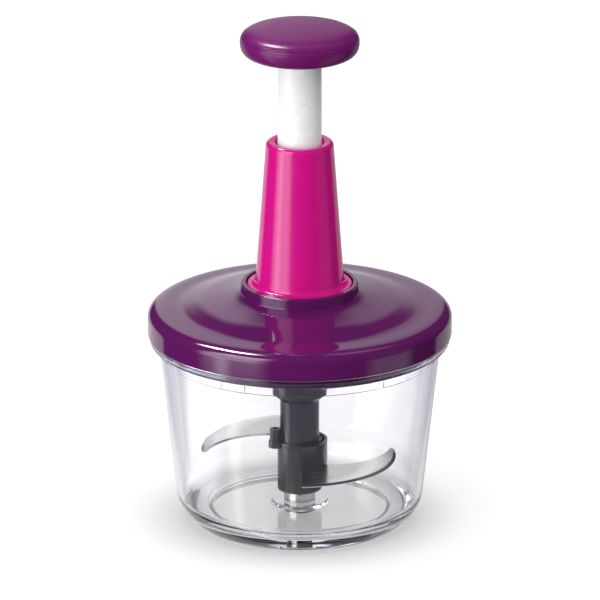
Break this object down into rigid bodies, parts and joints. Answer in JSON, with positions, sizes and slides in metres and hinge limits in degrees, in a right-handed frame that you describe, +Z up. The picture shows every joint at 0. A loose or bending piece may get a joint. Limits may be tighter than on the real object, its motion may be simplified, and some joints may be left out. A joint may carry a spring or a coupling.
{
  "type": "plunger food chopper",
  "caption": "Hand-pressed food chopper: clear tapered bowl, domed lid with a drive tower, knobbed plunger and a blade unit that spins on a steel pivot.",
  "frame": {"origin": "centre of the foot ring, on the surface the chopper stands on", "axes": "+Z up along the common axis of bowl, lid and plunger; the front of the chopper faces -Y"},
  "size_m": [0.1592, 0.1592, 0.2678],
  "materials": {
    "clear_plastic": "polished clear plastic",
    "pivot_steel": "polished stainless steel",
    "grey_plastic": "satin dark grey",
    "bush_plastic": "natural acetal",
    "blade_steel": "brushed stainless steel",
    "purple_plastic": "glossy deep purple",
    "magenta_plastic": "glossy magenta",
    "white_plastic": "semi-gloss white",
    "washer_rubber": "matt black",
    "spindle_plastic": "smooth natural acetal",
    "spring_steel": "drawn steel",
    "screw_steel": "plated steel"
  },
  "bodies": {
    "bowl_unit": {"bowl": "clear_plastic", "pivot_pin": "pivot_steel"},
    "blade_unit": {"blade_shaft": "grey_plastic", "lower_bush": "bush_plastic", "upper_bush": "bush_plastic", "blade_hub": "grey_plastic", "lower_blade": "blade_steel", "upper_blade": "blade_steel"},
    "lid_unit": {"lid": "purple_plastic", "drive_tower": "magenta_plastic", "tube_guide": "bush_plastic", "tower_screws": "screw_steel", "clutch_housing": "grey_plastic", "cover_plate": "purple_plastic", "cover_screws": "screw_steel", "thrust_washer": "bush_plastic"},
    "plunger_unit": {"plunger_tube": "white_plastic", "stop_washer": "washer_rubber", "drive_nut": "bush_plastic", "knob_base": "purple_plastic", "knob_cap": "purple_plastic", "knob_screw": "screw_steel", "return_spring": "spring_steel"},
    "drive_unit": {"spindle": "spindle_plastic", "spring_seat": "bush_plastic", "drive_coupling": "grey_plastic", "clutch_rotor": "bush_plastic", "clutch_pawls": "spring_steel"}
  },
  "joints": [
    {"name": "lid_lift", "type": "slide", "parent": "bowl_unit", "child": "lid_unit", "axis": [0, 0, 1], "range_m": [0, 0.09]},
    {"name": "plunger_press", "type": "slide", "parent": "lid_unit", "child": "plunger_unit", "axis": [0, 0, -1], "range_m": [0, 0.042], "stiffness_N_per_m": 250, "springref_m": -0.02, "deforming": ["return_spring"]},
    {"name": "drive_spin", "type": "hinge", "parent": "lid_unit", "child": "drive_unit", "pos_m": [0, 0, 0.1], "axis": [0, 0, 1], "continuous": true},
    {"name": "blade_spin", "type": "hinge", "parent": "bowl_unit", "child": "blade_unit", "pos_m": [0, 0, 0.03], "axis": [0, 0, 1], "continuous": true}
  ],
  "couplings": [
    {"joint": "drive_spin", "follows": "plunger_press", "rad_per_m": -209.44},
    {"joint": "blade_spin", "follows": "plunger_press", "rad_per_m": -209.44}
  ]
}
